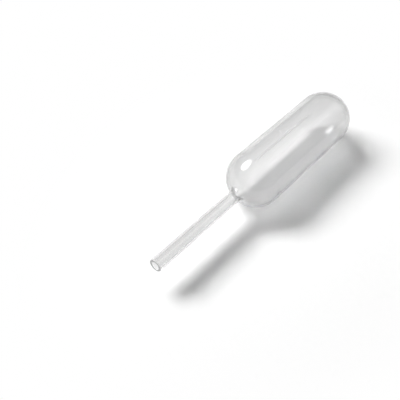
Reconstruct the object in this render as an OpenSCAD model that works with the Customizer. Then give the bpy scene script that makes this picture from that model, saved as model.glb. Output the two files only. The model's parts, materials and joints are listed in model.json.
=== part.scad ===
// Plastic dropper pipette: a clear squeeze bulb and a short straight stem, blow-moulded as one
// hollow piece. It lies along X with its tip towards +X. The origin is on the ground, under the
// middle of its length.

/* [Bulb] */
// Outside diameter of the squeeze bulb
bulb_d = 15.5; // [13:0.5:20]
// Length of the bulb, from the end of its dome to where the straight stem begins
bulb_len = 47.5; // [36:0.5:64]
// Thickness of the bulb's wall
bulb_wall = 0.6; // [0.4:0.05:1]

/* [Stem] */
// Outside diameter of the stem
stem_d = 3.4; // [3.2:0.1:5]
// Diameter of the bore through the stem
bore_d = 2.2; // [1.2:0.1:2.4]
// Length of the straight stem, from the throat to its open tip
stem_len = 29.5; // [16:0.5:70]

/* [Throat] */
// Radius of the hollow outside curve between the shoulder and the stem
throat_r = 1.2; // [0.6:0.1:2.5]

/* [Parting line] */
// How far the mould's parting line stands out from the bulb
seam_h = 0.08; // [0.04:0.01:0.15]
// Width of the parting line
seam_w = 0.3; // [0.2:0.05:0.5]
// Length over which each end of the parting line fades into the wall
seam_fade = 2; // [0.5:0.5:4]

/* [Resting] */
// Width of the flat that the soft bulb settles on
flat_w = 2; // [1:0.2:3]
// How far round from upright the parting lines are when the pipette lies at rest
seam_turn = 2; // [-45:1:45]

/* [Hidden] */
$fn = 128;

bulb_r = bulb_d / 2;
stem_r = stem_d / 2;
bore_r = bore_d / 2;
cavity_r = bulb_r - bulb_wall;
total_len = bulb_len + stem_len;

// Inside, the throat's curve is larger by one wall, so that the wall is even round the bend.
funnel_r = throat_r + bulb_wall;

// Distance along the axis from the centre of a ball to the end of a curve of radius curve_r
// that runs from the ball to a tube
function throat_reach(ball_r, tube_r, curve_r) =
    sqrt(pow(ball_r + curve_r, 2) - pow(tube_r + curve_r, 2));

// Places along the axis, measured from the end of the dome
dome_at = bulb_r;
shoulder_at = bulb_len - throat_reach(bulb_r, stem_r, throat_r);
body_len = shoulder_at - dome_at;

// Height of the axis above the flat
axis_h = sqrt(pow(bulb_r, 2) - pow(flat_w / 2, 2));

// Half outline of a capsule, drawn from the axis outwards
module capsule_half(r) {
    intersection() {
        union() {
            translate([0, dome_at]) circle(r);
            translate([0, shoulder_at]) circle(r);
            translate([0, dome_at]) square([r, body_len]);
        }
        translate([0, dome_at - r]) square([r, body_len + 2 * r]);
    }
}

// Half outline of the flare from a ball at the shoulder to a tube, with a hollow side
module flare_half(ball_r, tube_r, curve_r) {
    reach = throat_reach(ball_r, tube_r, curve_r);
    share = ball_r / (ball_r + curve_r);
    on_ball = [(tube_r + curve_r) * share, shoulder_at + reach * share];
    on_tube = [tube_r, shoulder_at + reach];
    difference() {
        polygon([[0, on_ball[1]], on_ball, on_tube, [0, on_tube[1]]]);
        translate([tube_r + curve_r, shoulder_at + reach]) circle(curve_r);
    }
}

// Half outline of a capsule with a flare and a tube that ends at tube_end
module dropper_half(ball_r, tube_r, curve_r, tube_end) {
    tube_from = shoulder_at + throat_reach(ball_r, tube_r, curve_r);
    capsule_half(ball_r);
    flare_half(ball_r, tube_r, curve_r);
    translate([0, tube_from]) square([tube_r, tube_end - tube_from]);
}

// The hollow moulding, upright on its dome
module moulding() {
    rotate_extrude() difference() {
        dropper_half(bulb_r, stem_r, throat_r, total_len);
        dropper_half(cavity_r, bore_r, funnel_r, total_len + 1);
    }
}

// One raised parting line along the straight part of the bulb, which fades out at its ends
module parting_line() {
    root = bulb_r - bulb_wall / 2;
    crest = bulb_r + seam_h;
    rotate([90, 0, 0])
        linear_extrude(height = seam_w, center = true)
            polygon([
                [root, dome_at],
                [bulb_r, dome_at],
                [crest, dome_at + seam_fade],
                [crest, shoulder_at - seam_fade],
                [bulb_r, shoulder_at],
                [root, shoulder_at],
            ]);
}

// The ground, which presses the flat
module ground() {
    translate([-total_len, -bulb_d, -bulb_d]) cube([2 * total_len, 2 * bulb_d, bulb_d]);
}

module pipette() {
    color([0.93, 0.95, 0.96, 0.4])
        difference() {
            translate([-total_len / 2, 0, axis_h])
                rotate([seam_turn, 0, 0])
                    rotate([0, 90, 0]) {
                        moulding();
                        parting_line();
                        rotate([0, 0, 180]) parting_line();
                    }
            ground();
        }
}

pipette();
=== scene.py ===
import json
import math

import bmesh
import bpy
from mathutils import Matrix, Vector


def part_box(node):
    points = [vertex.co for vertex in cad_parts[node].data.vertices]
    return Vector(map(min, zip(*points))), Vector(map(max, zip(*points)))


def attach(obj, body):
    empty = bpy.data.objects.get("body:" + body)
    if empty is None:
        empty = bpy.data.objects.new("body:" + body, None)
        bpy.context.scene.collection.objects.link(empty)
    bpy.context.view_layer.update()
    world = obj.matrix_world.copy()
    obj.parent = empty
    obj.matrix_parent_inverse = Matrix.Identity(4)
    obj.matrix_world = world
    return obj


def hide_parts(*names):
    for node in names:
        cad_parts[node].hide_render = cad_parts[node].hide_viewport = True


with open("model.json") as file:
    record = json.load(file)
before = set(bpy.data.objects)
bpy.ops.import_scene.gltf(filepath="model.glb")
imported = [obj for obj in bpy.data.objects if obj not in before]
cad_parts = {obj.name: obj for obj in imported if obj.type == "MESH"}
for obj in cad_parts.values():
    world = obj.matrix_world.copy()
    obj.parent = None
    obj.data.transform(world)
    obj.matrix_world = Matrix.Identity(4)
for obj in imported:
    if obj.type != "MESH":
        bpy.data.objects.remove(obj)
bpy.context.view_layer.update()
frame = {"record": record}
scene = bpy.context.scene


# Dropper: one hollow piece of clear soft polyethylene, with a squeeze bulb that has a domed end and
# a round shoulder, a flared throat and a thin straight stem. It is blow-moulded from a tube, so its
# wall is even, and the stem is cut off square at its open tip.
low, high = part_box("pipette")
mounts = {mount["name"]: mount for mount in frame["record"]["mounts"]}
tip_end, _, axis_height = mounts["stem"]["pos_m"]
stem_radius = mounts["stem"]["dims"]["r_mm"] / 1000
stem_length = mounts["stem"]["dims"]["length_mm"] / 1000
wall = stem_radius - mounts["stem_bore"]["dims"]["r_mm"] / 1000
bulb_radius = (high.y - low.y) / 2
throat_radius = 0.0012
dome_centre = low.x + bulb_radius
stem_start = tip_end - stem_length
throat_height = stem_radius + throat_radius
throat_reach = bulb_radius + throat_radius
shoulder_centre = stem_start - math.sqrt(throat_reach**2 - throat_height**2)
throat_turn = math.acos(throat_height / throat_reach)

moulding = bmesh.new()


def curve_on(corner, centre_x, centre_z, turn, steps):
    """Carries the outline on from its last corner round an arc, and returns where it ends."""
    arc = bmesh.ops.spin(
        moulding,
        geom=[corner],
        cent=(centre_x, 0, centre_z),
        axis=(0, 1, 0),
        angle=turn,
        steps=steps,
        use_merge=False,
    )
    return next(part for part in arc["geom_last"] if isinstance(part, bmesh.types.BMVert))


def run_on(corner, length, steps):
    """Carries the outline on along the axis, and returns where it ends. Its first and last steps are
    short, so that the shading stays straight up to them."""
    end_step = 0.0002
    step = (length - 2 * end_step) / steps
    for distance in [end_step] + [step] * steps + [end_step]:
        corner = bmesh.ops.extrude_vert_indiv(moulding, verts=[corner])["verts"][0]
        bmesh.ops.translate(moulding, verts=[corner], vec=(distance, 0, 0))
    return corner


# The outline runs from the middle of the dome to the tip. Turned about the axis it is the outer
# skin, and the wall then gets its thickness inwards.
dome_steps, body_steps, shoulder_steps, throat_steps, stem_steps = 40, 24, 36, 20, 12
steps_round = 240
corner = moulding.verts.new((low.x, 0, 0))
corner = curve_on(corner, dome_centre, 0, math.pi / 2, dome_steps)
corner = run_on(corner, shoulder_centre - dome_centre, body_steps)
corner = curve_on(corner, shoulder_centre, 0, throat_turn, shoulder_steps)
corner = curve_on(corner, stem_start, throat_height, -throat_turn, throat_steps)
run_on(corner, stem_length, stem_steps)
bmesh.ops.spin(
    moulding,
    geom=moulding.verts[:] + moulding.edges[:],
    cent=(0, 0, 0),
    axis=(1, 0, 0),
    angle=2 * math.pi,
    steps=steps_round,
    use_merge=True,
)
bmesh.ops.remove_doubles(moulding, verts=moulding.verts[:], dist=1e-7)
bmesh.ops.recalc_face_normals(moulding, faces=moulding.faces[:])
bmesh.ops.solidify(moulding, geom=moulding.faces[:], thickness=wall)

# The two mould halves leave a hair-fine ridge along the bulb, which sinks back into the wall at its
# ends. The second one, underneath, is pressed flush.
seam_height = 0.00008
seam_half_width = 0.00015
seam_fade = 0.002
seam_turn = math.radians(2)
outer_skin_from = bulb_radius - wall / 2
for side in (-1, -0.5, 0.5, 1):
    band = [
        face
        for face in moulding.faces
        if abs(face.calc_center_median().y) < 3 * seam_half_width
        and face.calc_center_median().z > outer_skin_from
    ]
    corners = {vert for face in band for vert in face.verts}
    edges = {edge for face in band for edge in face.edges}
    bmesh.ops.bisect_plane(
        moulding,
        geom=band + list(corners) + list(edges),
        dist=1e-8,
        plane_co=(0, side * seam_half_width, 0),
        plane_no=(0, 1, 0),
    )
for vert in moulding.verts:
    aside = abs(vert.co.y) / seam_half_width
    from_end = min(vert.co.x - dome_centre, shoulder_centre - vert.co.x)
    if aside < 1 and from_end > 0 and vert.co.z > outer_skin_from:
        rise = seam_height * min(from_end / seam_fade, 1)
        vert.co.z += rise * (0.5 + 0.5 * math.cos(math.pi * aside))

# The knife leaves the two edges of the tip a little rounded.
tip_round = 0.00008
rim_edges = [
    edge
    for edge in moulding.edges
    if all(abs(vert.co.x - tip_end) < 1e-6 for vert in edge.verts) and edge.calc_length() < wall / 2
]
bmesh.ops.bevel(
    moulding,
    geom=rim_edges,
    offset=tip_round,
    offset_type="OFFSET",
    segments=3,
    profile=0.5,
    affect="EDGES",
    material=-1,
)

# The pipette lies with its parting lines turned a little from upright. The soft bulb settles on a
# narrow flat, by less than a tenth of a millimetre.
bmesh.ops.rotate(
    moulding,
    verts=moulding.verts[:],
    cent=(0, 0, 0),
    matrix=Matrix.Rotation(seam_turn, 3, "X"),
)
bmesh.ops.translate(moulding, verts=moulding.verts[:], vec=(0, 0, axis_height))
for vert in moulding.verts:
    for axis in range(3):
        vert.co[axis] = min(max(vert.co[axis], low[axis]), high[axis])
for face in moulding.faces:
    face.smooth = True
    face.material_index = int(face.calc_center_median().x > tip_end - tip_round)

dropper_mesh = bpy.data.meshes.new("clear_dropper")
moulding.to_mesh(dropper_mesh)
moulding.free()
dropper = bpy.data.objects.new("clear_dropper", dropper_mesh)
scene.collection.objects.link(dropper)
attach(dropper, "root")
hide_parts("pipette")


def add_node(tree, kind, **values):
    """Adds a shader node, and sets its sockets by their names, written with _ for each space."""
    node = tree.nodes.new("ShaderNode" + kind)
    for name, value in values.items():
        node.inputs[name.replace("_", " ")].default_value = value
    return node


def add_math(tree, operation, first, second=None):
    """Adds a math node on one or two sockets or numbers, and returns its result."""
    node = tree.nodes.new("ShaderNodeMath")
    node.operation = operation
    for place, value in zip(node.inputs, (first, second)):
        if isinstance(value, bpy.types.NodeSocket):
            tree.links.new(value, place)
        elif value is not None:
            place.default_value = value
    return node.outputs["Value"]


def add_ramp(tree, value, start, end, low_value, high_value):
    """Adds a smooth change from low_value to high_value, as value goes from start to end."""
    node = add_node(tree, "MapRange", From_Min=start, From_Max=end, To_Min=low_value, To_Max=high_value)
    node.interpolation_type = "SMOOTHSTEP"
    tree.links.new(value, node.inputs["Value"])
    return node.outputs["Result"]


def new_tree(owner):
    """Empties the node tree of a material or a world, and returns it with a new output node."""
    owner.use_nodes = True
    owner.node_tree.nodes.clear()
    kind = "OutputWorld" if isinstance(owner, bpy.types.World) else "OutputMaterial"
    return owner.node_tree, add_node(owner.node_tree, kind)


# The polyethylene is clear with a little milkiness. Its pattern is laid out as it left the mould,
# with the axis along X and the parting lines at Y = 0.
plastic = bpy.data.materials.new("clear_polyethylene")
tree, output = new_tree(plastic)
links = tree.links
in_mould = add_node(tree, "Mapping", Location=(0, 0, axis_height), Rotation=(seam_turn, 0, 0))
in_mould.vector_type = "TEXTURE"
links.new(add_node(tree, "TexCoord").outputs["Object"], in_mould.inputs["Vector"])
apart = add_node(tree, "SeparateXYZ")
links.new(in_mould.outputs["Vector"], apart.inputs["Vector"])
along = apart.outputs["X"]

# A faint frosted line, a quarter of a millimetre wide, marks where the mould halves met. It fades
# out short of the dome and on the shoulder.
frost_core, frost_edge = 0.00005, 0.00012
frost_from, frost_to = dome_centre + 0.008, shoulder_centre + 0.002
frosted = add_ramp(tree, add_math(tree, "ABSOLUTE", apart.outputs["Y"]), frost_core, frost_edge, 1, 0)
frosted = add_math(tree, "MULTIPLY", frosted, add_math(tree, "GREATER_THAN", apart.outputs["Z"], 0))
near_dome = add_ramp(tree, along, frost_from, frost_from + 0.003, 0, 1)
near_shoulder = add_ramp(tree, along, frost_to - 0.002, frost_to, 1, 0)
frosted = add_math(tree, "MULTIPLY", frosted, add_math(tree, "MULTIPLY", near_dome, near_shoulder))

# The skin has slow waves from the blowing, and over them fine lines from the drawn tube, which are
# long along the axis and close together across it.
wave_scale, wave_depth = 170, 0.00006
line_scale, line_depth = (14, 900, 900), 0.000004
drawn = add_node(tree, "Mapping", Scale=line_scale)
links.new(in_mould.outputs["Vector"], drawn.inputs["Vector"])
draw_lines = add_node(tree, "TexNoise", Scale=1, Detail=3, Roughness=0.5)
links.new(drawn.outputs["Vector"], draw_lines.inputs["Vector"])
waves = add_node(tree, "TexNoise", Scale=wave_scale, Detail=1, Roughness=0.4)
links.new(in_mould.outputs["Vector"], waves.inputs["Vector"])
bump_waves = add_node(tree, "Bump", Strength=1, Distance=wave_depth)
links.new(waves.outputs["Fac"], bump_waves.inputs["Height"])
bump_lines = add_node(tree, "Bump", Strength=1, Distance=line_depth)
links.new(draw_lines.outputs["Fac"], bump_lines.inputs["Height"])
links.new(bump_waves.outputs["Normal"], bump_lines.inputs["Normal"])
line_sheen = add_ramp(tree, draw_lines.outputs["Fac"], 0.3, 0.7, 0.01, 0.07)
roughness = add_math(tree, "ADD", line_sheen, add_math(tree, "MULTIPLY", frosted, 0.3))

# The bulb is duller than the stem, as it was blown against the mould, and dullest at its two ends.
dome_dullness, body_dullness, shoulder_dullness = 0.14, 0.04, 0.07
dull_dome = add_ramp(tree, along, dome_centre - 0.001, dome_centre + 0.005, dome_dullness, body_dullness)
dull_shoulder = add_ramp(tree, along, shoulder_centre - 0.005, shoulder_centre + 0.001, 0, shoulder_dullness)
dull_bulb = add_math(tree, "ADD", dull_dome, dull_shoulder)
dull_bulb = add_math(tree, "MULTIPLY", dull_bulb, add_math(tree, "LESS_THAN", along, stem_start))
roughness = add_math(tree, "ADD", roughness, dull_bulb)


def add_plastic(colour, frosted_colour):
    """Adds the plastic in one grey, and in another on the frosted line."""
    grey = add_node(tree, "MapRange", To_Min=colour, To_Max=frosted_colour)
    links.new(frosted, grey.inputs["Value"])
    skin = add_node(tree, "BsdfPrincipled", IOR=1.5, Transmission_Weight=1)
    links.new(grey.outputs["Result"], skin.inputs["Base Color"])
    links.new(roughness, skin.inputs["Roughness"])
    links.new(bump_lines.outputs["Normal"], skin.inputs["Normal"])
    return skin.outputs["BSDF"]


# Light that falls through onto the floor meets a darker copy of the plastic than the eye meets,
# which deepens the dropper's shadow on the floor. Milky plastic turns part of that light back, and
# the rest of this darkening is painted shade.
for_the_eye = add_plastic(0.83, 0.72)
painted_shade_plastic = add_plastic(0.32, 0.28)
by_use = add_node(tree, "MixShader")
links.new(add_node(tree, "LightPath").outputs["Is Diffuse Ray"], by_use.inputs["Fac"])
links.new(for_the_eye, by_use.inputs[1])
links.new(painted_shade_plastic, by_use.inputs[2])
links.new(by_use.outputs["Shader"], output.inputs["Surface"])
dropper_mesh.materials.append(plastic)

# The cut end is duller, with fine marks across it from the knife.
mark_depth = 0.00001
cut = bpy.data.materials.new("cut_polyethylene")
tree, output = new_tree(cut)
links = tree.links
across = add_node(tree, "Mapping", Rotation=(0.6, 0, 0), Scale=(1, 900, 9000))
links.new(add_node(tree, "TexCoord").outputs["Object"], across.inputs["Vector"])
marks = add_node(tree, "TexNoise", Scale=1, Detail=2, Roughness=0.5)
links.new(across.outputs["Vector"], marks.inputs["Vector"])
bump_marks = add_node(tree, "Bump", Strength=1, Distance=mark_depth)
links.new(marks.outputs["Fac"], bump_marks.inputs["Height"])
face_cut = add_node(tree, "BsdfPrincipled", Base_Color=(0.8, 0.8, 0.8, 1), IOR=1.5, Transmission_Weight=0.4)
links.new(add_ramp(tree, marks.outputs["Fac"], 0.3, 0.7, 0.35, 0.5), face_cut.inputs["Roughness"])
links.new(bump_marks.outputs["Normal"], face_cut.inputs["Normal"])
links.new(face_cut.outputs["BSDF"], output.inputs["Surface"])
dropper_mesh.materials.append(cut)


# Floor: a plain sheet of white paper that the dropper lies on. It keeps the dropper's shadow close
# by, and further out it fades into the white of the room.
floor_radius = 1.2
floor_gap = 0.00003
sheet = bmesh.new()
bmesh.ops.create_circle(sheet, cap_ends=True, radius=floor_radius, segments=96)
bmesh.ops.translate(sheet, verts=sheet.verts[:], vec=(0, 0, -floor_gap))
floor_mesh = bpy.data.meshes.new("white_floor")
sheet.to_mesh(floor_mesh)
sheet.free()
floor = bpy.data.objects.new("white_floor", floor_mesh)
scene.collection.objects.link(floor)
paper = bpy.data.materials.new("white_paper")
tree, output = new_tree(paper)
links = tree.links
on_paper = add_node(tree, "TexCoord").outputs["Object"]
in_oval = add_node(tree, "Mapping", Location=(0, -0.007, 0), Scale=(0.75, 1, 1))
links.new(on_paper, in_oval.inputs["Vector"])
distance = tree.nodes.new("ShaderNodeVectorMath")
distance.operation = "LENGTH"
links.new(in_oval.outputs["Vector"], distance.inputs[0])
near, far = 0.034, 0.055
white_near = 0.03
white_share = add_ramp(tree, distance.outputs["Value"], near, far, white_near, 1)
ray = add_node(tree, "LightPath")
seen = add_math(tree, "MAXIMUM", ray.outputs["Is Camera Ray"], ray.outputs["Is Glossy Ray"])
seen = add_math(tree, "MULTIPLY", seen, white_share)

# Seen through the plastic, the paper gets painted light over its shadow: a white glow that leaves
# only a strip under the bulb darker, with more glow beyond the strip. A glowing line on the lamp's
# side, also seen only through the plastic, is painted light that stands for light reaching further
# in under the bulb.
strip_ends, beyond_starts = 0.003, 0.006
strip_painted_white, beyond_painted_white = 0.28, 0.55
painted_line_y, painted_line_half_width, painted_line_level = -0.0026, 0.0013, 0.45
spot = add_node(tree, "SeparateXYZ")
links.new(on_paper, spot.inputs["Vector"])
painted_white_share = add_ramp(tree, distance.outputs["Value"], near, far, strip_painted_white, 1)
beyond = add_ramp(tree, spot.outputs["Y"], strip_ends, beyond_starts, 0, beyond_painted_white)
painted_white_share = add_math(tree, "MAXIMUM", painted_white_share, beyond)
through = ray.outputs["Is Transmission Ray"]
painted_white_through = add_math(tree, "MULTIPLY", through, painted_white_share)
# The glowing line lies 2.6 mm from the axis on the lamp's side, along the bulb only: painted light.
from_line = add_math(tree, "ABSOLUTE", add_math(tree, "SUBTRACT", spot.outputs["Y"], painted_line_y))
painted_light_line = add_ramp(tree, from_line, 0, painted_line_half_width, painted_line_level, 0)
past_dome = add_ramp(tree, spot.outputs["X"], dome_centre - 0.003, dome_centre + 0.003, 0, 1)
before_stem = add_ramp(tree, spot.outputs["X"], stem_start - 0.007, stem_start - 0.002, 1, 0)
painted_light_line = add_math(tree, "MULTIPLY", painted_light_line, add_math(tree, "MULTIPLY", past_dome, before_stem))
# Its painted light is given out by the paper itself, as an emission, only for rays through the plastic.
painted_glow_under = add_node(tree, "Emission", Color=(1, 1, 1, 1))
links.new(add_math(tree, "MULTIPLY", painted_light_line, through), painted_glow_under.inputs["Strength"])

# The paper is mixed with white glow: plain white for the eye and for gloss further out, and painted light
# over the shadow for rays through the plastic.
whitened_and_painted = add_node(tree, "MixShader")
links.new(add_math(tree, "MAXIMUM", seen, painted_white_through), whitened_and_painted.inputs["Fac"])
links.new(add_node(tree, "BsdfDiffuse", Color=(1, 1, 1, 1)).outputs["BSDF"], whitened_and_painted.inputs[1])
links.new(add_node(tree, "Emission", Strength=1).outputs["Emission"], whitened_and_painted.inputs[2])
paper_with_painted_light = add_node(tree, "AddShader")
links.new(whitened_and_painted.outputs["Shader"], paper_with_painted_light.inputs[0])
links.new(painted_glow_under.outputs["Emission"], paper_with_painted_light.inputs[1])
links.new(paper_with_painted_light.outputs["Shader"], output.inputs["Surface"])
floor_mesh.materials.append(paper)


# Lamp: one large oval softbox halfway up, on the far side of the dropper from the camera. It gives
# the highlights on the shoulder and the dome, and the soft shadow.
def towards(azimuth, elevation):
    """The direction with an azimuth and an elevation in degrees, as a vector of length 1."""
    azimuth, elevation = math.radians(azimuth), math.radians(elevation)
    flat = math.cos(elevation)
    return Vector((math.cos(azimuth) * flat, math.sin(azimuth) * flat, math.sin(elevation)))


def aim_back(thing, target, direction, distance, roll):
    """Puts a lamp or a camera at a distance from its target, facing it, with a roll in degrees."""
    thing.location = target + direction * distance
    facing = (-direction).to_track_quat("-Z", "Y").to_matrix()
    thing.rotation_euler = (facing @ Matrix.Rotation(math.radians(roll), 3, "Z")).to_euler()
    scene.collection.objects.link(thing)


key_azimuth, key_elevation, key_roll = -76, 44, -30
key_distance = 3
key_target = Vector((-0.012, 0, 0.008))
key_level = 0.94
key = bpy.data.lights.new("key_softbox", "AREA")
key.shape = "ELLIPSE"
key.size = 2.2
key.size_y = 1.08
key.energy = math.pi**2 * key_distance**2 * key_level / math.sin(math.radians(key_elevation))
key_lamp = bpy.data.objects.new("key_softbox", key)
aim_back(key_lamp, key_target, towards(key_azimuth, key_elevation), key_distance, key_roll)


# Room: white walls, with one long soft panel overhead. The eye sees the room as plain white, the
# clear plastic sees it a little darker low down, and gloss sees the panel in dim surroundings.
room_level = 0.13
panel_aside, panel_half_width = 0.25, 0.4
panel_level, beside_level = 2.2, 0.3
world = bpy.data.worlds.new("studio")
scene.world = world
tree, output = new_tree(world)
links = tree.links
ray = add_node(tree, "LightPath")
direction = add_node(tree, "SeparateXYZ")
links.new(add_node(tree, "TexCoord").outputs["Generated"], direction.inputs["Vector"])
panel = add_node(tree, "Background", Color=(1, 1, 1, 1))
from_panel = add_math(tree, "ABSOLUTE", add_math(tree, "SUBTRACT", direction.outputs["Y"], panel_aside))
across_panel = add_ramp(tree, from_panel, 0, panel_half_width, panel_level, beside_level)
high_up = add_ramp(tree, direction.outputs["Z"], 0.1, 0.5, 0.3, 1)
links.new(add_math(tree, "MULTIPLY", across_panel, high_up), panel.inputs["Strength"])
room = add_node(tree, "Background", Color=(1, 1, 1, 1), Strength=room_level)
white = add_node(tree, "Background", Color=(1, 1, 1, 1))
low_down = add_ramp(tree, direction.outputs["Z"], 0, 0.2, 0.5, 1)
links.new(add_math(tree, "MAXIMUM", low_down, ray.outputs["Is Camera Ray"]), white.inputs["Strength"])
in_gloss = add_node(tree, "MixShader")
links.new(ray.outputs["Is Glossy Ray"], in_gloss.inputs["Fac"])
links.new(room.outputs["Background"], in_gloss.inputs[1])
links.new(panel.outputs["Background"], in_gloss.inputs[2])
in_view = add_node(tree, "MixShader")
seen = add_math(tree, "MAXIMUM", ray.outputs["Is Camera Ray"], ray.outputs["Is Transmission Ray"])
links.new(seen, in_view.inputs["Fac"])
links.new(in_gloss.outputs["Shader"], in_view.inputs[1])
links.new(white.outputs["Background"], in_view.inputs[2])
links.new(in_view.outputs["Shader"], output.inputs["Surface"])


# Camera: on a stand, looking down at the pipette from beyond its tip and from one side, as one looks
# at a small thing on a table.
view_azimuth, view_elevation, view_roll = 35.32, 50.93, 7.44
view_distance = 0.1724
view_target = Vector((0.0113, -0.00907, 0))
lens = bpy.data.cameras.new("camera")
lens.sensor_width = 36
lens.lens = 58.02
lens.clip_start = 0.01
lens.clip_end = 50
camera = bpy.data.objects.new("camera", lens)
aim_back(camera, view_target, towards(view_azimuth, view_elevation), view_distance, view_roll)
scene.camera = camera
scene.view_settings.view_transform = "Standard"

# Light turns many times inside the clear wall, so it keeps more bounces, and none are softened.
scene.cycles.max_bounces = 16
scene.cycles.glossy_bounces = 6
scene.cycles.blur_glossy = 0
scene.cycles.sample_clamp_indirect = 0
